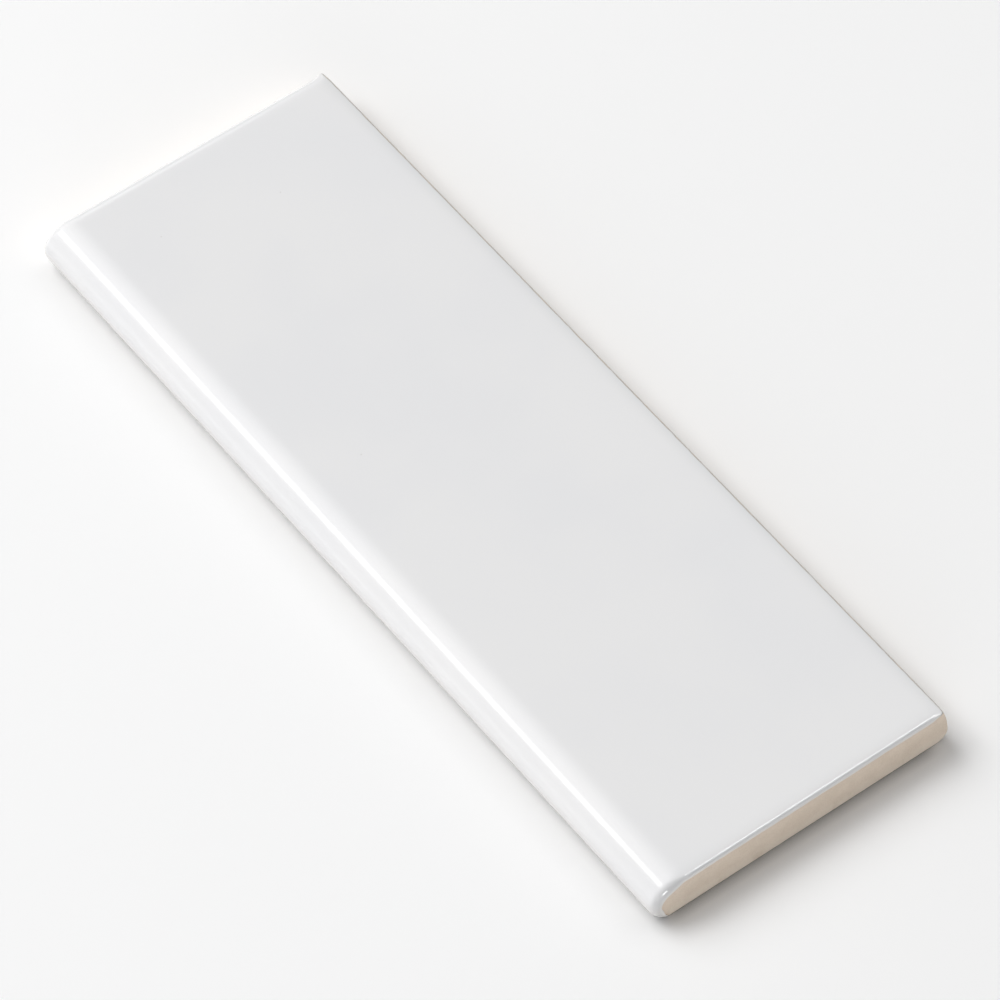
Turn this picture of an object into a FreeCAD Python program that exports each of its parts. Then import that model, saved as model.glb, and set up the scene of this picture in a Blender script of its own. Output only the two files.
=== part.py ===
"""Bullnose tile: a long narrow wall tile with one rounded long edge.

The tile lies face up. X runs along its length, Y across it from the rounded nose to the
plain back side, and Z up. The origin is under the middle of its box, on the floor.
"""
import FreeCAD, Part
import math
import os

# Overall size, in millimetres
LENGTH = 152.4
WIDTH = 54.6
THICKNESS = 7.8

# Nose: a quarter round up from the bed, then a longer round onto the face
NOSE_UNDER_RADIUS = 3.6
NOSE_REACH = 6.2

# Back side: it bellies out below the face and turns in at the bed
BACK_UNDER_RADIUS = 2.0
BACK_BELLY = 1.3

# Rounds at both ends: along the face, which has the same at its back edge, round the nose and at the bed
FACE_EDGE_RADIUS = 0.9
NOSE_EDGE_RADIUS = 1.3
BED_EDGE_RADIUS = 0.4

# Keyed bed: shallow grooves with drafted walls and round ends
KEY_WIDTH = 5.0
KEY_PITCH = 10.0
KEY_DEPTH = 0.8
KEY_DRAFT = 0.5
KEY_RIM = 7.0

# Places that follow from the sizes
NOSE_Y = -WIDTH / 2
BACK_Y = WIDTH / 2
FACE_BACK_Y = BACK_Y - BACK_BELLY
BED_NOSE_Y = NOSE_Y + NOSE_UNDER_RADIUS
BED_BACK_Y = BACK_Y - BACK_UNDER_RADIUS

# Largest gap at which two places count as one
SAME_PLACE = 1e-6


def point(y, z, x=0.0):
    return FreeCAD.Vector(x, y, z)


def arc(start, through, end):
    return Part.Arc(start, through, end).toShape()


def line(start, end):
    return Part.makeLine(start, end)


def under_round(side_y, inward, radius):
    """Quarter circle from the bed to the outermost line of one long side."""
    centre_y = side_y + inward * radius
    half_way = radius * math.sqrt(0.5)
    return arc(
        point(centre_y, 0),
        point(centre_y - inward * half_way, radius - half_way),
        point(side_y, radius),
    )


def nose_round():
    """Quarter ellipse from the nose's outermost line onto the face."""
    curve = Part.BezierCurve()
    curve.setPoles([
        point(NOSE_Y, NOSE_UNDER_RADIUS),
        point(NOSE_Y, THICKNESS),
        point(NOSE_Y + NOSE_REACH, THICKNESS),
    ])
    curve.setWeight(2, math.sqrt(0.5))
    return curve.toShape()


def back_belly():
    """Arc from the face's back edge to the outermost line of the back side, upright there."""
    rise = THICKNESS - BACK_UNDER_RADIUS
    radius = (rise ** 2 + BACK_BELLY ** 2) / (2 * BACK_BELLY)
    half_way = math.asin(rise / radius) / 2
    middle = point(
        BACK_Y - radius * (1 - math.cos(half_way)),
        BACK_UNDER_RADIUS + radius * math.sin(half_way),
    )
    return arc(point(FACE_BACK_Y, THICKNESS), middle, point(BACK_Y, BACK_UNDER_RADIUS))


def section():
    """Cross-section of the tile as a flat face."""
    edges = [
        under_round(NOSE_Y, 1, NOSE_UNDER_RADIUS),
        nose_round(),
        line(point(NOSE_Y + NOSE_REACH, THICKNESS), point(FACE_BACK_Y, THICKNESS)),
        back_belly(),
        under_round(BACK_Y, -1, BACK_UNDER_RADIUS),
        line(point(BED_BACK_Y, 0), point(BED_NOSE_Y, 0)),
    ]
    return Part.Face(Part.Wire(Part.__sortEdges__(edges)))


def edge_radius(place):
    """Radius of an edge at a place: fullest on the nose, tighter on the face, small elsewhere."""
    if abs(place.y - NOSE_Y) < SAME_PLACE:
        return NOSE_EDGE_RADIUS
    if abs(place.z - THICKNESS) < SAME_PLACE:
        return FACE_EDGE_RADIUS
    return BED_EDGE_RADIUS


def rounded_edges(body):
    """Number and two end radii of each edge to round: both ends and the face's back edge."""
    rounds = []
    for number, edge in enumerate(body.Edges, start=1):
        first = edge.valueAt(edge.FirstParameter)
        last = edge.valueAt(edge.LastParameter)
        on_end = abs(first.x - last.x) < SAME_PLACE
        at_face_back = abs(first.y - FACE_BACK_Y) < SAME_PLACE
        if on_end or at_face_back:
            rounds.append((number, edge_radius(first), edge_radius(last)))
    return rounds


def tile_body():
    """The section along the whole length, with its rounded edges."""
    profile = section()
    profile.translate(point(0, 0, -LENGTH / 2))
    document = FreeCAD.newDocument("bullnose_tile")
    bar = document.addObject("Part::Feature", "bar")
    bar.Shape = profile.extrude(point(0, 0, LENGTH))
    rounded = document.addObject("Part::Fillet", "rounded")
    rounded.Base = bar
    rounded.Edges = rounded_edges(bar.Shape)
    document.recompute()
    return rounded.Shape.Solids[0]


def stadium(y, z, length, width):
    """Closed level outline with round ends, its middle at X = 0."""
    side = width / 2
    half = length / 2 - side
    return Part.Wire([
        line(point(y - side, z, -half), point(y - side, z, half)),
        arc(point(y - side, z, half), point(y, z, half + side), point(y + side, z, half)),
        line(point(y + side, z, half), point(y + side, z, -half)),
        arc(point(y + side, z, -half), point(y, z, -half - side), point(y - side, z, -half)),
    ])


def key_groove(y):
    """One groove of the bed, narrower at its roof than at its mouth."""
    length = LENGTH - 2 * KEY_RIM
    mouth = stadium(y, 0, length, KEY_WIDTH)
    roof = stadium(y, KEY_DEPTH, length - 2 * KEY_DRAFT, KEY_WIDTH - 2 * KEY_DRAFT)
    return Part.makeLoft([mouth, roof], True, True)


def key_grooves():
    """As many grooves as the bed takes between its rims, spread evenly about its middle."""
    room = BED_BACK_Y - BED_NOSE_Y - 2 * KEY_RIM
    count = int((room - KEY_WIDTH) // KEY_PITCH) + 1
    first = (BED_BACK_Y + BED_NOSE_Y - (count - 1) * KEY_PITCH) / 2
    return [key_groove(first + number * KEY_PITCH) for number in range(count)]


tile = tile_body().cut(key_grooves())

os.makedirs("parts", exist_ok=True)
tile.exportStep("parts/bullnose_tile.step")
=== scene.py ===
"""Looks of the bullnose tile: a glazed tile lying face up on a pale studio floor."""
import math
from collections import namedtuple

import bmesh
import bpy
from mathutils import Matrix, Quaternion, Vector


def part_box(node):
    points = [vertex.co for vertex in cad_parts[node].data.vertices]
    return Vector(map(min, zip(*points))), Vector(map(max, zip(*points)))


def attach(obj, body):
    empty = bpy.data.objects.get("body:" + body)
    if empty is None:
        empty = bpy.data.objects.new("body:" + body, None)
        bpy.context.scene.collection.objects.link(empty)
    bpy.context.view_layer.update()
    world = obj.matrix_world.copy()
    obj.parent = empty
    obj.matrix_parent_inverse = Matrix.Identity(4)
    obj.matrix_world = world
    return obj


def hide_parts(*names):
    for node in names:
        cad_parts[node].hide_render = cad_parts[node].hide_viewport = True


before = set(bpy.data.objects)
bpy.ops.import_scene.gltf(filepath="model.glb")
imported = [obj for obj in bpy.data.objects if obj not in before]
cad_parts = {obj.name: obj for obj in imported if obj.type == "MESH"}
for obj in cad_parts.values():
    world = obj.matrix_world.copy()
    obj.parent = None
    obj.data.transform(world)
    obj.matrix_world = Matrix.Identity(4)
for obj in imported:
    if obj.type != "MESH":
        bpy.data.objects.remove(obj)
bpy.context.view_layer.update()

NODE = "bullnose_tile"
MM = 0.001

# Sizes of the tile: the box comes from the part's mesh, the long sides and the grooves repeat the part's
# own, and the arrises and the bed's edge are as fine as the photograph shows them
BOX_LOW, BOX_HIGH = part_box(NODE)
HALF_LENGTH = (BOX_HIGH[0] - BOX_LOW[0]) / 2
NOSE_Y = BOX_LOW[1]
BACK_Y = BOX_HIGH[1]
FACE_Z = BOX_HIGH[2]
NOSE_UNDER_RADIUS = 3.6 * MM
NOSE_REACH = 6.2 * MM
BACK_UNDER_RADIUS = 2.0 * MM
BACK_BELLY = 1.3 * MM
NEAR_ARRIS_RADIUS = 0.6 * MM
FAR_ARRIS_RADIUS = 1.4 * MM
BACK_ARRIS_RADIUS = 0.5 * MM
NOSE_ARRIS_RADIUS = 1.2 * MM
BED_EDGE_RADIUS = 0.22 * MM
KEY_WIDTH = 5.0 * MM
KEY_PITCH = 10.0 * MM
KEY_DEPTH = 0.8 * MM
KEY_DRAFT = 0.5 * MM
KEY_RIM = 7.0 * MM
KEY_COUNT = 4

# Soft fall of the glazed face towards its edges
END_FALL_RADIUS = 8.6 * MM
END_FALL_ANGLE = math.radians(10)
NOSE_FALL = 0.3
NOSE_STRAIGHT = math.radians(60)
FOOT_QUICKNESS = 1.6
BACK_FALL_RADIUS = 10.0 * MM
BACK_FALL_ANGLE = math.radians(12)

# Glaze: how far it runs down the ends and the back, where it stops under the nose, and its lip
FACE_SKIRT = 1.17 * MM
NOSE_SKIRT = 1.6 * MM
BACK_CORNER_SKIRT = 0.55 * MM
BACK_CORNER_REACH = 2.6 * MM
BACK_SKIRT = 0.29 * MM
GLAZE_FOOT_ANGLE = math.radians(8)
GLAZE_LIP = 0.12 * MM
GLAZE_LIP_SLOPE = 0.04 * MM
SKIRT_WOBBLE = 0.05
WOBBLE_WAVES = ((0.6, 430, 0.7), (0.4, 1130, 2.1))
DEEP_GLAZE = -2.0 * MM

# Mesh: the steps of its rounds and runs, and the small lengths and limits that go with them
ROUND_STEPS = 28
SMALL_ROUND_STEPS = 12
FALL_STEPS = 6
RING_STEPS = 10
SKIRT_STEPS = 3
LEAST_FALL = 0.06
LENGTH_STEPS = 40
GUARD = 0.3 * MM
RUB_AND_LIGHT_REACH = 2.0 * MM
FACE_STEPS = 12
KEY_END_STEPS = 16
CAP_STEPS = (0.03, 0.08, 0.16, 0.32, 0.64)
CAP_SPINE_INSET = 4.0 * MM
SHARP_ANGLE = math.radians(35)

# Noise: the band of values that its ramps spread over, and how fine each noise is
NOISE_BAND = (0.3, 0.7)
GRAIN_BAND = (0.3, 0.6)
RUB_AND_LIGHT_BAND = (0.25, 0.5)
WAVE_BAND = (0.2, 0.8)
CLOUD_DETAIL = 2
MOTTLE_DETAIL = 3
GRAIN_DETAIL = 2
WAVE_DETAIL = 2
PEEL_DETAIL = 1
LUMP_DETAIL = 1
DOT_BLUR = 0.02

# Glaze looks: values times MM are in metres, runs, blurs, waves and bump heights in millimetres,
# and the radii of dots are shares of their pitch
GLAZE_COOL = (0.795, 0.796, 0.806, 1)
GLAZE_WARM = (0.815, 0.813, 0.816, 1)
GLAZE_CLOUD_SIZE = 22 * MM
GLAZE_SMEAR_SIZE = GLAZE_CLOUD_SIZE / 3
# Thin glaze at the edges: warmer, and painted lighter as painted light on the skirt
GLAZE_THIN_AND_PAINTED_LIGHT = (0.95, 0.925, 0.90, 1)
GLAZE_THIN_LIGHT_RUN = 0.8
# Painted shade low on the nose: the glaze's colour darkens between these heights
NOSE_FOOT_PAINTED_SHADE = (0.745, 0.73, 0.715, 1)
GLAZE_FOOT_TOP = 5.0 * MM
GLAZE_FOOT_LOW = 2.2 * MM
GLAZE_EDGE_BLUR = 0.04
GLAZE_EDGE_WAVE = 0.10
GLAZE_EDGE_WAVE_SIZE = 1.6 * MM
GLAZE_GLOSS = (0.045, 0.085)
GLAZE_PEEL_SIZE = 5.0 * MM
GLAZE_PEEL_HEIGHT = 0.0018
PINHOLE_PITCH = 4.0 * MM
PINHOLE_RADIUS = 0.035
PINHOLE_SHARE = 0.88
PINHOLE_COLOUR = (0.62, 0.60, 0.58, 1)

# Painted shade: a dark line where the glaze stops at the back, darker than the clay, standing in for the
# shaded back arris
BACK_PAINTED_SHADE = (0.51, 0.485, 0.45, 1)
BACK_LINE_RUN = 0.25
BACK_LINE_INSET = 0.6 * MM
BACK_LINE_START = BACK_Y - BACK_BELLY - BACK_LINE_INSET
BACK_LINE_FADE = 0.3 * MM

# Bare clay looks, in the same units
CLAY_DARK = (0.812, 0.692, 0.567, 1)
CLAY_PALE = (0.852, 0.732, 0.607, 1)
CLAY_MOTTLE_SIZE = 2.4 * MM
CLAY_LUMP_SIZE = CLAY_MOTTLE_SIZE / 2
CLAY_GRAIN_SIZE = 0.28 * MM
CLAY_GRAIN_DARK = (0.95, 0.945, 0.94, 1)
CLAY_GRAIN_PALE = (1.0, 1.0, 1.0, 1)
CLAY_FLASH = (0.79, 0.65, 0.53, 1)
CLAY_FLASH_RUN = 0.55
CLAY_FLASH_STRENGTH = 0.7
# Pale rub at the clay's bottom edge: partly wear, partly painted light against the shade at the foot
CLAY_RUB_AND_LIGHT = (0.95, 0.845, 0.72, 1)
CLAY_FLECK = (0.36, 0.25, 0.17, 1)
CLAY_FLECK_PITCH = 1.3 * MM
CLAY_FLECK_RADIUS = 0.09
CLAY_FLECK_SHARE = 0.85
CLAY_FLECK_STRENGTH = 0.3
CLAY_ROUGHNESS = (0.78, 0.95)
CLAY_GRAIN_HEIGHT = 0.012
CLAY_LUMP_HEIGHT = 0.012

# Camera
CAMERA_AZIMUTH = math.radians(52.77)
CAMERA_ELEVATION = math.radians(53.30)
CAMERA_ROLL = math.radians(0.08)
CAMERA_DISTANCE = 0.9981
CAMERA_TARGET = Vector((2.357 * MM, 1.341 * MM, 0))
CAMERA_SENSOR = 36.0
CAMERA_LENS = 240.07

# Floor: pale, with painted light falloff that leaves it dimmer to one side, a wide faint painted shade
# round the tile, fainter on the nose's side, and a narrow dark painted shade at the tile's ends
FLOOR_HALF_SIZE = 4.0
FLOOR_ROUGHNESS = 0.9
FLOOR_SHINE = 0.2
FLOOR_FADE = (0.603, 0.798, 0.0)
FLOOR_FADE_REACH = 0.12
FLOOR_BRIGHT = (0.957, 0.957, 0.957, 1)
FLOOR_DIM = (0.921, 0.921, 0.921, 1)
FLOOR_CONTACT_REACH = 2.0 * MM
FLOOR_CONTACT_SHARE = 0.84
FLOOR_CONTACT_INSET = 1.2 * MM
FLOOR_CONTACT_FADE = 4.0 * MM
FLOOR_HALO_REACH = 6.0 * MM
FLOOR_HALO_SHARES = (0.11, 0.22)
FLOOR_HALO_FADE = 5.0 * MM
FLOOR_CONTACT_RAYS = 4

# Light: even light all round, glows and soft boxes. A glow has a direction, a tightness, a strength and
# the share of it that shows in reflections. A soft box has a direction, the direction that its width
# lies along, a distance, a width, a height and a power, and lights the matt, the glossy or both
EVEN_LIGHT = 0.04
GLOWS = (
    ((-0.598, -0.236, 0.766), 10.2, 2.66, 1.0),
    ((-0.564, -0.825, 0.0), 14.0, 1.65, 1.0),
    ((0.737, -0.675, 0.0), 14.0, 3.95, 0.4),
    ((-0.054, 0.627, 0.777), 14.0, 1.65, 1.0),
)
ALONG_STRIP = (0.819, -0.495, 0.291)
ALONG_KEY = (0.606, -0.79, -0.08)
ALONG_FAR_END = (0.186, 0.911, -0.308)
ALONG_Y = (0.0, 1.0, 0.0)
ALONG_Z = (0.0, 0.0, 1.0)
SoftBox = namedtuple("SoftBox", "name direction along distance width height power softens gleams")
SOFT_BOXES = (
    SoftBox("soft_key", (-0.598, -0.236, 0.766), ALONG_KEY, 3.6, 2.55, 2.55, 44.4, True, False),
    SoftBox("left_strip", (-0.477, -0.454, 0.754), ALONG_STRIP, 1.2, 0.45, 0.235, 1.33, True, True),
    SoftBox("far_strip", (-0.739, 0.125, 0.662), ALONG_KEY, 1.5, 0.75, 0.25, 0.6, True, True),
    SoftBox("far_gleam", (-0.759, 0.365, 0.54), ALONG_FAR_END, 1.2, 0.5, 0.10, 0.2, False, True),
    SoftBox("right_gleam", (0.455, 0.452, 0.768), ALONG_Y, 1.2, 0.45, 0.66, 7.6, False, True),
    SoftBox("low_gleam", (0.905, 0.365, 0.22), ALONG_Y, 1.2, 0.6, 0.45, 1.6, False, True),
    SoftBox("front_gleam", (0.929, -0.295, 0.224), ALONG_Z, 1.2, 0.30, 0.30, 3.5, False, True),
)


def smooth(value):
    """Smooth step from 0 to 1."""
    value = min(max(value, 0.0), 1.0)
    return value * value * (3 - 2 * value)


class Station:
    """One point of the cross-section, with its outward normal and how the ends are shaped there."""

    def __init__(self, y, z, normal_y, normal_z, bare, fall, radius, skirt, reach=None):
        self.y = y
        self.z = z
        self.normal_y = normal_y
        self.normal_z = normal_z
        self.bare = bare
        self.fall = fall
        self.radius = radius
        self.skirt = skirt
        self.reach = reach or radius


def between(first, second, share):
    """Value part of the way from one to another."""
    return first + (second - first) * share


def spread(start, end, steps):
    """Evenly spread values, without the last one."""
    return [between(start, end, step / steps) for step in range(steps)]


def nose_under_stations():
    """From the bed up to the outermost line of the nose."""
    stations = []
    for angle in spread(-math.pi / 2, 0, SMALL_ROUND_STEPS):
        up = smooth(FOOT_QUICKNESS * (1 + angle / (math.pi / 2)))
        stations.append(Station(
            NOSE_Y + NOSE_UNDER_RADIUS * (1 - math.cos(angle)),
            NOSE_UNDER_RADIUS * (1 + math.sin(angle)),
            -math.cos(angle),
            math.sin(angle),
            (-math.pi / 2 + GLAZE_FOOT_ANGLE - angle) * NOSE_UNDER_RADIUS,
            between(LEAST_FALL, NOSE_FALL, up),
            between(BED_EDGE_RADIUS, NOSE_ARRIS_RADIUS, up),
            between(BED_EDGE_RADIUS, NOSE_SKIRT, up),
        ))
    return stations


def nose_round_stations(arris):
    """Quarter ellipse from the nose's outermost line onto the face."""
    rise = FACE_Z - NOSE_UNDER_RADIUS
    stations = []
    for angle in spread(0, math.pi / 2, ROUND_STEPS):
        normal = Vector((-math.cos(angle) / NOSE_REACH, math.sin(angle) / rise)).normalized()
        flat = smooth((angle - NOSE_STRAIGHT) / (math.pi / 2 - NOSE_STRAIGHT))
        stations.append(Station(
            NOSE_Y + NOSE_REACH * (1 - math.cos(angle)),
            NOSE_UNDER_RADIUS + rise * math.sin(angle),
            normal.x,
            normal.y,
            DEEP_GLAZE,
            between(NOSE_FALL, 1, flat),
            between(NOSE_ARRIS_RADIUS, arris, flat),
            between(NOSE_SKIRT, FACE_SKIRT, flat),
        ))
    return stations


def back_stations(arris):
    """The fall of the face at its back, the arris, the belly of the back side and its under round."""
    rise = FACE_Z - BACK_UNDER_RADIUS
    belly_radius = (rise ** 2 + BACK_BELLY ** 2) / (2 * BACK_BELLY)
    belly_y = BACK_Y - belly_radius
    drop = BACK_FALL_RADIUS * (1 - math.cos(BACK_FALL_ANGLE))
    arris_z = FACE_Z - drop - BACK_ARRIS_RADIUS * math.cos(BACK_FALL_ANGLE)
    reach = belly_radius - BACK_ARRIS_RADIUS
    meeting = math.asin((arris_z - BACK_UNDER_RADIUS) / reach)
    arris_y = belly_y + reach * math.cos(meeting)
    fall_y = arris_y - (BACK_FALL_RADIUS - BACK_ARRIS_RADIUS) * math.sin(BACK_FALL_ANGLE)
    glaze_end = FACE_Z - BACK_SKIRT
    stations = []
    for angle in spread(0, BACK_FALL_ANGLE, FALL_STEPS):
        share = smooth(angle / BACK_FALL_ANGLE)
        stations.append(Station(
            fall_y + BACK_FALL_RADIUS * math.sin(angle),
            FACE_Z - BACK_FALL_RADIUS * (1 - math.cos(angle)),
            math.sin(angle),
            math.cos(angle),
            DEEP_GLAZE,
            between(1, LEAST_FALL, share),
            between(arris, BED_EDGE_RADIUS, share),
            between(FACE_SKIRT, BACK_CORNER_SKIRT, share),
            between(arris, BACK_CORNER_REACH, share),
        ))
    for angle in spread(math.pi / 2 - BACK_FALL_ANGLE, meeting, SMALL_ROUND_STEPS):
        z = arris_z + BACK_ARRIS_RADIUS * math.sin(angle)
        stations.append(Station(
            arris_y + BACK_ARRIS_RADIUS * math.cos(angle),
            z,
            math.cos(angle),
            math.sin(angle),
            glaze_end - z,
            LEAST_FALL,
            BED_EDGE_RADIUS,
            BACK_CORNER_SKIRT,
            BACK_CORNER_REACH,
        ))
    for angle in spread(meeting, 0, SMALL_ROUND_STEPS):
        z = BACK_UNDER_RADIUS + belly_radius * math.sin(angle)
        stations.append(Station(
            belly_y + belly_radius * math.cos(angle),
            z,
            math.cos(angle),
            math.sin(angle),
            glaze_end - z,
            LEAST_FALL,
            BED_EDGE_RADIUS,
            BED_EDGE_RADIUS,
            between(BED_EDGE_RADIUS, BACK_CORNER_REACH, smooth(angle / meeting)),
        ))
    for angle in spread(0, -math.pi / 2, SMALL_ROUND_STEPS):
        z = BACK_UNDER_RADIUS * (1 + math.sin(angle))
        stations.append(Station(
            BACK_Y - BACK_UNDER_RADIUS * (1 - math.cos(angle)),
            z,
            math.cos(angle),
            math.sin(angle),
            glaze_end - z,
            LEAST_FALL,
            BED_EDGE_RADIUS,
            BED_EDGE_RADIUS,
        ))
    return stations, fall_y


def cross_section(arris):
    """The closed cross-section for an end with that arris; its first and last points end the bed."""
    back, fall_y = back_stations(arris)
    face_y = NOSE_Y + NOSE_REACH
    face = [
        Station(y, FACE_Z, 0.0, 1.0, DEEP_GLAZE, 1.0, arris, FACE_SKIRT)
        for y in spread(face_y, fall_y, FACE_STEPS)
    ]
    bed_end = Station(
        BACK_Y - BACK_UNDER_RADIUS, 0.0, 0.0, -1.0,
        FACE_Z - BACK_SKIRT, LEAST_FALL, BED_EDGE_RADIUS, BED_EDGE_RADIUS,
    )
    return nose_under_stations() + nose_round_stations(arris) + face + back + [bed_end]


def wobble(place):
    """Slow waver between -1 and 1 along the section, in metres of run."""
    return sum(share * math.sin(place * rate + start) for share, rate, start in WOBBLE_WAVES)


def end_profile(station):
    """Points of one end's edge at a station: how far short of the end they lie, and how deep."""
    turn = END_FALL_ANGLE * station.fall
    skirt = station.skirt * (1 + SKIRT_WOBBLE * wobble(station.y + station.z))
    points = []
    for angle in spread(0, turn, FALL_STEPS):
        points.append((END_FALL_RADIUS * math.sin(angle), END_FALL_RADIUS * (1 - math.cos(angle))))
    start = END_FALL_RADIUS * math.sin(turn) - station.reach * math.sin(turn)
    deep = (END_FALL_RADIUS - station.radius) * (1 - math.cos(turn))
    for angle in spread(turn, math.pi / 2, RING_STEPS):
        run = start + station.reach * math.sin(angle)
        points.append((run, deep + station.radius * (1 - math.cos(angle))))
    low = deep + station.radius
    rim = max(skirt, low + GLAZE_LIP_SLOPE)
    for depth in spread(low, rim, SKIRT_STEPS):
        points.append((start + station.reach, depth))
    points.append((start + station.reach, rim))
    return [(start + station.reach - along, depth) for along, depth in points]


def inside(station, x, depth):
    """The point at a depth under the station's surface, at a place along the tile."""
    return Vector((x, station.y - station.normal_y * depth, station.z - station.normal_z * depth))


def end_rings(stations, side):
    """Rings of points round one end: its edge, the glaze's lip and the bare clay inside it."""
    columns = []
    floor_x = side * (HALF_LENGTH - GLAZE_LIP)
    for station in stations:
        glazed = smooth(-station.bare / GUARD)
        worn_and_lit = (1 - glazed) * smooth(-station.normal_z)
        reach = HALF_LENGTH - GLAZE_LIP * (1 - glazed)
        profile = end_profile(station)
        rim_depth = profile[-1][1]
        column = []
        run = 0.0
        for short, depth in reversed(profile):
            place = inside(station, side * (reach - short), depth)
            if column:
                run += (place - column[-1][0]).length
            column.append((place, max(station.bare, -run), worn_and_lit if run < GUARD else 0.0))
        column.reverse()
        lip = inside(station, floor_x, rim_depth + GLAZE_LIP_SLOPE)
        column.append((lip, max(station.bare, GLAZE_LIP), worn_and_lit))
        spine_y = min(max(lip.y, NOSE_Y + CAP_SPINE_INSET), BACK_Y - CAP_SPINE_INSET)
        spine = Vector((floor_x, spine_y, FACE_Z / 2))
        for share in CAP_STEPS:
            inner = lip.lerp(spine, share)
            run = (inner - lip).length
            # Pale rub near the bottom edge of the bare ends, partly painted light against the shade there
            rub_and_light = worn_and_lit * smooth(1 - run / RUB_AND_LIGHT_REACH)
            column.append((inner, max(station.bare, GLAZE_LIP + run), rub_and_light))
        columns.append(column)
    return [list(ring) for ring in zip(*columns)]


def body_rings(stations):
    """Rings of points between the two ends."""
    reach = HALF_LENGTH - END_FALL_RADIUS * math.sin(END_FALL_ANGLE) - NOSE_ARRIS_RADIUS - GUARD
    return [
        [((x, station.y, station.z), station.bare, 0.0) for station in stations]
        for x in spread(-reach, reach, LENGTH_STEPS) + [reach]
    ]


def join_rings(mesh, first, second):
    """Quads between two rings of vertices, with the side of the bed left open."""
    for index in range(len(first) - 1):
        mesh.faces.new((first[index], first[index + 1], second[index + 1], second[index]))


def stadium(mesh, y, z, length, width):
    """Closed loop of vertices with round ends."""
    side = width / 2
    half = length / 2 - side
    loop = []
    for centre, start in ((half, -math.pi / 2), (-half, math.pi / 2)):
        for step in range(KEY_END_STEPS + 1):
            angle = start + math.pi * step / KEY_END_STEPS
            loop.append(mesh.verts.new((centre + side * math.cos(angle), y + side * math.sin(angle), z)))
    return loop


def loop_edges(mesh, loop):
    """The edges of a closed loop of vertices."""
    edges = []
    for index, vertex in enumerate(loop):
        following = loop[(index + 1) % len(loop)]
        edges.append(mesh.edges.get((vertex, following)) or mesh.edges.new((vertex, following)))
    return edges


def add_bed(mesh, outline):
    """The flat bed with its blind key grooves."""
    edges = loop_edges(mesh, outline)
    middle = (NOSE_Y + NOSE_UNDER_RADIUS + BACK_Y - BACK_UNDER_RADIUS) / 2
    length = 2 * (HALF_LENGTH - KEY_RIM)
    for number in range(KEY_COUNT):
        y = middle + (number - (KEY_COUNT - 1) / 2) * KEY_PITCH
        mouth = stadium(mesh, y, 0.0, length, KEY_WIDTH)
        roof = stadium(mesh, y, KEY_DEPTH, length - 2 * KEY_DRAFT, KEY_WIDTH - 2 * KEY_DRAFT)
        edges += loop_edges(mesh, mouth)
        for index in range(len(mouth)):
            after = (index + 1) % len(mouth)
            mesh.faces.new((mouth[index], mouth[after], roof[after], roof[index]))
        mesh.faces.new(roof)
    bmesh.ops.triangle_fill(mesh, use_beauty=True, edges=edges)


def add_loops(mesh, rings, bare_layer, rub_and_light_layer):
    """A loop of vertices for each ring, which stores the run past the glaze's edge and the pale rub,
    which is partly painted light.
    """
    loops = []
    for ring in rings:
        loop = []
        for place, bare, rub_and_light in ring:
            vertex = mesh.verts.new(place)
            vertex[bare_layer] = bare / MM
            vertex[rub_and_light_layer] = rub_and_light
            loop.append(vertex)
        loops.append(loop)
    return loops


def add_skin(mesh, loops, end_count):
    """The faces of the loops and of both ends, and the loop of vertices that is left open for the bed."""
    for first, second in zip(loops, loops[1:]):
        join_rings(mesh, first, second)
    for end in (loops[:end_count + 1], loops[-end_count - 1:]):
        for first, second in zip(end, end[1:]):
            mesh.faces.new((first[-1], first[0], second[0], second[-1]))
    mesh.faces.new(loops[0])
    mesh.faces.new(loops[-1][::-1])
    body = loops[end_count:-end_count]
    return [loop[0] for loop in body] + [loop[-1] for loop in reversed(body)]


def tile_piece():
    """The whole tile as one closed mesh, with its bed all bare."""
    near = cross_section(NEAR_ARRIS_RADIUS)
    far = cross_section(FAR_ARRIS_RADIUS)
    near_end = end_rings(near, 1)
    rings = end_rings(far, -1)[::-1] + body_rings(near) + near_end
    mesh = bmesh.new()
    bare_layer = mesh.verts.layers.float.new("bare")
    rub_and_light_layer = mesh.verts.layers.float.new("rub_and_light")
    loops = add_loops(mesh, rings, bare_layer, rub_and_light_layer)
    outline = add_skin(mesh, loops, len(near_end))
    before = set(mesh.verts)
    add_bed(mesh, outline)
    for vertex in mesh.verts:
        if vertex not in before:
            vertex[bare_layer] = FACE_Z / MM
    bmesh.ops.recalc_face_normals(mesh, faces=mesh.faces)
    for face in mesh.faces:
        face.smooth = True
    data = bpy.data.meshes.new("glazed_tile")
    mesh.to_mesh(data)
    mesh.free()
    data.set_sharp_from_angle(angle=SHARP_ANGLE)
    piece = bpy.data.objects.new("glazed_tile", data)
    bpy.context.collection.objects.link(piece)
    return piece


def node(tree, kind, **values):
    """A shader node with its plain settings."""
    made = tree.nodes.new(kind)
    for name, value in values.items():
        setattr(made, name, value)
    return made


def feed(tree, value, socket):
    """Gives a socket a plain value or the output of another node."""
    if isinstance(value, bpy.types.NodeSocket):
        tree.links.new(value, socket)
    else:
        socket.default_value = value


def noise(tree, place, size, detail):
    """Cloudy noise whose blots have the given size."""
    made = node(tree, "ShaderNodeTexNoise")
    made.inputs["Scale"].default_value = 1 / size
    made.inputs["Detail"].default_value = detail
    tree.links.new(place, made.inputs["Vector"])
    return made.outputs["Fac"]


def ramp(tree, value, start, end, low=0.0, high=1.0):
    """Smooth step of a value between two limits."""
    made = node(tree, "ShaderNodeMapRange", interpolation_type="SMOOTHSTEP")
    made.inputs["From Min"].default_value = start
    made.inputs["From Max"].default_value = end
    made.inputs["To Min"].default_value = low
    made.inputs["To Max"].default_value = high
    tree.links.new(value, made.inputs["Value"])
    return made.outputs["Result"]


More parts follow.
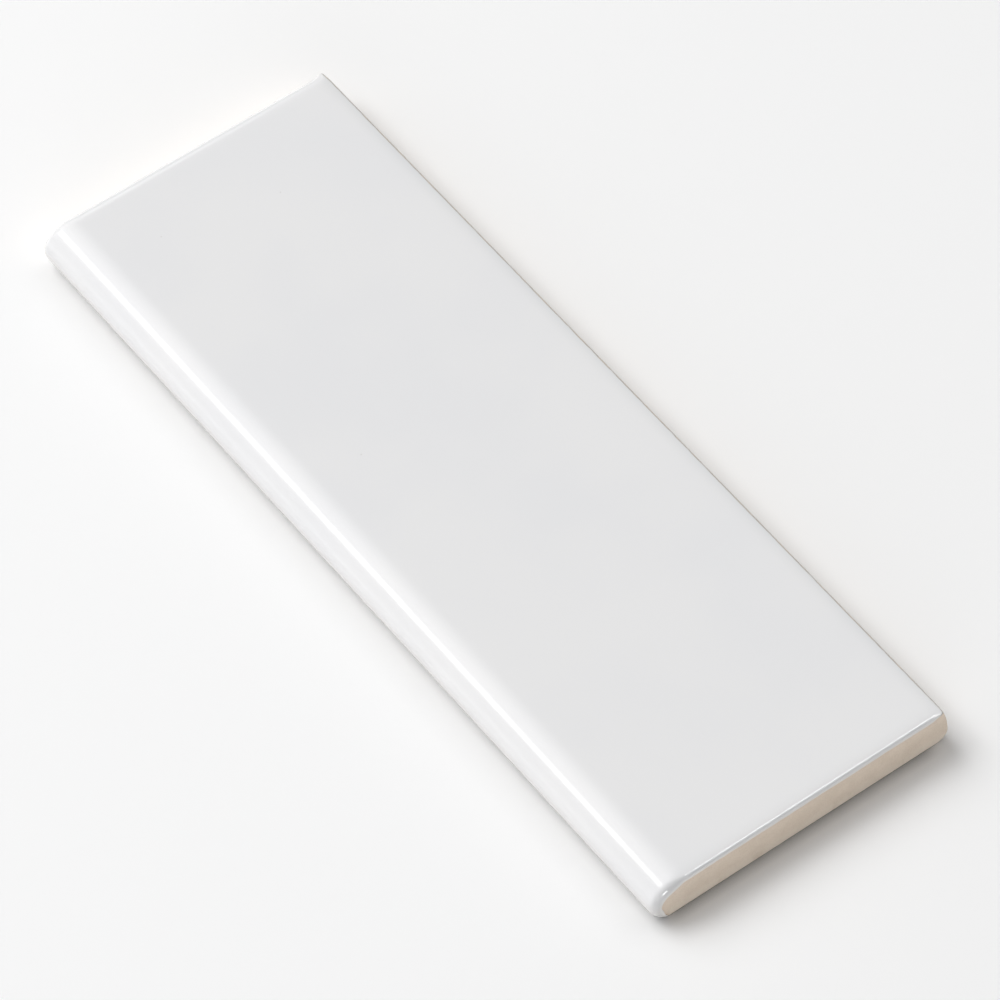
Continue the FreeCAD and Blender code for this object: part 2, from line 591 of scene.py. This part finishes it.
def blend(tree, factor, first, second, kind="MIX"):
    """One colour laid over another."""
    made = node(tree, "ShaderNodeMix", data_type="RGBA", blend_type=kind)
    feed(tree, factor, made.inputs["Factor"])
    feed(tree, first, made.inputs["A"])
    feed(tree, second, made.inputs["B"])
    return made.outputs["Result"]


def sums(tree, kind, first, second, third=0.0):
    """Arithmetic on plain numbers."""
    made = node(tree, "ShaderNodeMath", operation=kind)
    for value, socket in zip((first, second, third), made.inputs):
        feed(tree, value, socket)
    return made.outputs["Value"]


def dots(tree, place, pitch, radius, share):
    """Small dots strewn about a pitch apart, on only some of their places."""
    cells = node(tree, "ShaderNodeTexVoronoi")
    cells.inputs["Scale"].default_value = 1 / pitch
    tree.links.new(place, cells.inputs["Vector"])
    chance = node(tree, "ShaderNodeSeparateColor")
    tree.links.new(cells.outputs["Color"], chance.inputs["Color"])
    kept = ramp(tree, chance.outputs["Red"], share, share + DOT_BLUR)
    return sums(tree, "MULTIPLY", ramp(tree, cells.outputs["Distance"], radius, radius / 2), kept)


def glaze_colour(tree, place, height, edge, behind):
    """White glaze, a little cloudy, with rare pinholes; painted shade darkens it low on the nose and at
    its back edge, and at its other edges it is thin, warmer and painted lighter as painted light.
    """
    cloud = noise(tree, place, GLAZE_CLOUD_SIZE, CLOUD_DETAIL)
    colour = blend(tree, ramp(tree, cloud, *NOISE_BAND), GLAZE_COOL, GLAZE_WARM)
    pinholes = dots(tree, place, PINHOLE_PITCH, PINHOLE_RADIUS, PINHOLE_SHARE)
    colour = blend(tree, pinholes, colour, PINHOLE_COLOUR)
    # Painted shade: the glaze darkens low on the nose, towards the floor
    colour = blend(tree, ramp(tree, height, GLAZE_FOOT_TOP, GLAZE_FOOT_LOW), colour, NOSE_FOOT_PAINTED_SHADE)
    # Thin glaze at the edges, warmer and painted lighter as painted light
    thin_and_lit = blend(tree, ramp(tree, edge, -GLAZE_THIN_LIGHT_RUN, 0), colour, GLAZE_THIN_AND_PAINTED_LIGHT)
    # Painted shade: the thin glaze at the back darkens to a dark line
    line = blend(tree, ramp(tree, edge, -BACK_LINE_RUN, 0), colour, BACK_PAINTED_SHADE)
    return blend(tree, behind, thin_and_lit, line)


def clay_colour(tree, place, edge, behind):
    """Buff fired clay: mottled, grainy, flecked and flashed by the glaze, the flash painted dark at the
    back as painted shade, and rubbed pale along its bottom edge, partly painted light against the shade
    at the foot.
    """
    mottle = noise(tree, place, CLAY_MOTTLE_SIZE, MOTTLE_DETAIL)
    colour = blend(tree, ramp(tree, mottle, *NOISE_BAND), CLAY_DARK, CLAY_PALE)
    grain = noise(tree, place, CLAY_GRAIN_SIZE, GRAIN_DETAIL)
    shade = blend(tree, ramp(tree, grain, *GRAIN_BAND), CLAY_GRAIN_DARK, CLAY_GRAIN_PALE)
    colour = blend(tree, 1.0, colour, shade, "MULTIPLY")
    flecks = dots(tree, place, CLAY_FLECK_PITCH, CLAY_FLECK_RADIUS, CLAY_FLECK_SHARE)
    colour = blend(tree, sums(tree, "MULTIPLY", flecks, CLAY_FLECK_STRENGTH), colour, CLAY_FLECK)
    # At the back the flashed clay takes the painted shade's dark colour
    flash = blend(tree, behind, CLAY_FLASH, BACK_PAINTED_SHADE)
    flashed = ramp(tree, edge, CLAY_FLASH_RUN, 0, 0, CLAY_FLASH_STRENGTH)
    colour = blend(tree, flashed, colour, flash)
    # Pale rub at the bottom edge, partly wear and partly painted light
    rub_and_light = node(tree, "ShaderNodeAttribute", attribute_name="rub_and_light")
    worn_and_lit = sums(tree, "MULTIPLY", rub_and_light.outputs["Fac"], ramp(tree, mottle, *RUB_AND_LIGHT_BAND))
    return blend(tree, worn_and_lit, colour, CLAY_RUB_AND_LIGHT)


def surface_height(tree, place, bare):
    """Height in millimetres: faint orange peel on the glaze, grain and pores on the clay."""
    peel = sums(tree, "MULTIPLY", noise(tree, place, GLAZE_PEEL_SIZE, PEEL_DETAIL), GLAZE_PEEL_HEIGHT)
    grain = sums(tree, "MULTIPLY", noise(tree, place, CLAY_GRAIN_SIZE, GRAIN_DETAIL), CLAY_GRAIN_HEIGHT)
    lumps = noise(tree, place, CLAY_LUMP_SIZE, LUMP_DETAIL)
    rough = sums(tree, "MULTIPLY_ADD", lumps, CLAY_LUMP_HEIGHT, grain)
    return sums(tree, "MULTIPLY_ADD", rough, bare, peel)


def glazed_clay():
    """White gloss glaze over bare buff clay, told apart by the run past the glaze's edge."""
    material = bpy.data.materials.new("glazed_clay")
    material.use_nodes = True
    tree = material.node_tree
    shader = tree.nodes["Principled BSDF"]
    place = node(tree, "ShaderNodeTexCoord").outputs["Object"]
    run = node(tree, "ShaderNodeAttribute", attribute_name="bare").outputs["Fac"]
    waver = noise(tree, place, GLAZE_EDGE_WAVE_SIZE, WAVE_DETAIL)
    wave = ramp(tree, waver, *WAVE_BAND, -GLAZE_EDGE_WAVE, GLAZE_EDGE_WAVE)
    edge = sums(tree, "ADD", run, wave)
    bare = ramp(tree, edge, -GLAZE_EDGE_BLUR, GLAZE_EDGE_BLUR)
    spot = node(tree, "ShaderNodeSeparateXYZ")
    tree.links.new(place, spot.inputs["Vector"])
    behind = ramp(tree, spot.outputs["Y"], BACK_LINE_START, BACK_LINE_START + BACK_LINE_FADE)
    glaze = glaze_colour(tree, place, spot.outputs["Z"], edge, behind)
    colour = blend(tree, bare, glaze, clay_colour(tree, place, edge, behind))
    tree.links.new(colour, shader.inputs["Base Color"])
    smear = noise(tree, place, GLAZE_SMEAR_SIZE, CLOUD_DETAIL)
    gloss = ramp(tree, smear, *NOISE_BAND, *GLAZE_GLOSS)
    dull = ramp(tree, smear, *NOISE_BAND, *CLAY_ROUGHNESS)
    matt = node(tree, "ShaderNodeMix", data_type="FLOAT")
    feed(tree, bare, matt.inputs["Factor"])
    feed(tree, gloss, matt.inputs["A"])
    feed(tree, dull, matt.inputs["B"])
    tree.links.new(matt.outputs["Result"], shader.inputs["Roughness"])
    bump = node(tree, "ShaderNodeBump")
    bump.inputs["Distance"].default_value = MM
    tree.links.new(surface_height(tree, place, bare), bump.inputs["Height"])
    tree.links.new(bump.outputs["Normal"], shader.inputs["Normal"])
    return material


def shut_off(tree, reach):
    """Grey of painted shade, darker where things within reach shut out the light."""
    made = node(tree, "ShaderNodeAmbientOcclusion", samples=FLOOR_CONTACT_RAYS)
    made.inputs["Distance"].default_value = reach
    return made.outputs["Color"]


def pale_floor():
    """Matt pale surface, with painted light that dims it to one side and painted shade close to the tile.
    """
    material = bpy.data.materials.new("pale_floor")
    material.use_nodes = True
    tree = material.node_tree
    shader = tree.nodes["Principled BSDF"]
    place = node(tree, "ShaderNodeTexCoord").outputs["Object"]
    # Painted light falloff: the floor's colour grows dimmer to one side
    across = node(tree, "ShaderNodeVectorMath", operation="DOT_PRODUCT")
    across.inputs[1].default_value = FLOOR_FADE
    tree.links.new(place, across.inputs[0])
    fade = ramp(tree, across.outputs["Value"], -FLOOR_FADE_REACH, FLOOR_FADE_REACH)
    colour = blend(tree, fade, FLOOR_BRIGHT, FLOOR_DIM)
    spot = node(tree, "ShaderNodeSeparateXYZ")
    tree.links.new(place, spot.inputs["Vector"])
    # Painted shade round the tile, fainter on the nose's side
    share = ramp(tree, spot.outputs["Y"], NOSE_Y, NOSE_Y + FLOOR_HALO_FADE, *FLOOR_HALO_SHARES)
    colour = blend(tree, share, colour, shut_off(tree, FLOOR_HALO_REACH), "MULTIPLY")
    # Painted dark shade at the tile's ends
    aside = sums(tree, "ABSOLUTE", spot.outputs["Y"], 0.0)
    rim = BACK_Y - FLOOR_CONTACT_INSET
    share = ramp(tree, aside, rim, rim - FLOOR_CONTACT_FADE, 0, FLOOR_CONTACT_SHARE)
    colour = blend(tree, share, colour, shut_off(tree, FLOOR_CONTACT_REACH), "MULTIPLY")
    tree.links.new(colour, shader.inputs["Base Color"])
    shader.inputs["Roughness"].default_value = FLOOR_ROUGHNESS
    shader.inputs["Specular IOR Level"].default_value = FLOOR_SHINE
    return material


def floor_piece():
    """Pale floor under the tile."""
    corners = [
        (FLOOR_HALF_SIZE * x, FLOOR_HALF_SIZE * y, 0)
        for x, y in ((-1, -1), (1, -1), (1, 1), (-1, 1))
    ]
    mesh = bpy.data.meshes.new("floor")
    mesh.from_pydata(corners, [], [(0, 1, 2, 3)])
    mesh.materials.append(pale_floor())
    piece = bpy.data.objects.new("floor", mesh)
    bpy.context.collection.objects.link(piece)
    return piece


def area_light(box):
    """Light of one soft box, which faces the tile."""
    data = bpy.data.lights.new(box.name, "AREA")
    data.shape = "RECTANGLE"
    data.size = box.width
    data.size_y = box.height
    data.energy = box.power
    out = Vector(box.direction).normalized()
    across = out.cross(Vector(box.along)).normalized()
    light = bpy.data.objects.new(box.name, data)
    light.matrix_world = Matrix((across.cross(out), across, out)).transposed().to_4x4()
    light.location = out * box.distance
    light.visible_diffuse = box.softens
    light.visible_glossy = box.gleams
    bpy.context.collection.objects.link(light)


def world_light():
    """Even light from all round, with the broad glows added to it."""
    world = bpy.data.worlds.new("studio")
    world.use_nodes = True
    tree = world.node_tree
    background = tree.nodes["Background"]
    background.inputs["Color"].default_value = (1, 1, 1, 1)
    place = node(tree, "ShaderNodeTexCoord")
    reflected = node(tree, "ShaderNodeLightPath").outputs["Is Glossy Ray"]
    total = EVEN_LIGHT
    for direction, tightness, strength, shown in GLOWS:
        facing = node(tree, "ShaderNodeVectorMath", operation="DOT_PRODUCT")
        facing.inputs[1].default_value = Vector(direction).normalized()
        tree.links.new(place.outputs["Generated"], facing.inputs[0])
        fall = sums(tree, "MULTIPLY_ADD", facing.outputs["Value"], tightness, -tightness)
        glow = sums(tree, "EXPONENT", fall, 0.0)
        level = sums(tree, "MULTIPLY_ADD", reflected, strength * (shown - 1), strength)
        total = sums(tree, "MULTIPLY_ADD", glow, level, total)
    tree.links.new(total, background.inputs["Strength"])
    bpy.context.scene.world = world


def camera():
    """Camera at the photograph's angle."""
    data = bpy.data.cameras.new("camera")
    data.sensor_width = CAMERA_SENSOR
    data.lens = CAMERA_LENS
    back = Vector((
        math.sin(CAMERA_AZIMUTH) * math.cos(CAMERA_ELEVATION),
        -math.cos(CAMERA_AZIMUTH) * math.cos(CAMERA_ELEVATION),
        math.sin(CAMERA_ELEVATION),
    ))
    piece = bpy.data.objects.new("camera", data)
    piece.location = CAMERA_TARGET + back * CAMERA_DISTANCE
    level = back.to_track_quat("Z", "Y")
    piece.rotation_euler = (level @ Quaternion((0, 0, 1), CAMERA_ROLL)).to_euler()
    bpy.context.collection.objects.link(piece)
    bpy.context.scene.camera = piece


tile = tile_piece()
tile.data.materials.append(glazed_clay())
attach(tile, "root")
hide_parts(NODE)

floor_piece()
world_light()
for soft_box in SOFT_BOXES:
    area_light(soft_box)
camera()
bpy.context.scene.view_settings.view_transform = "Standard"
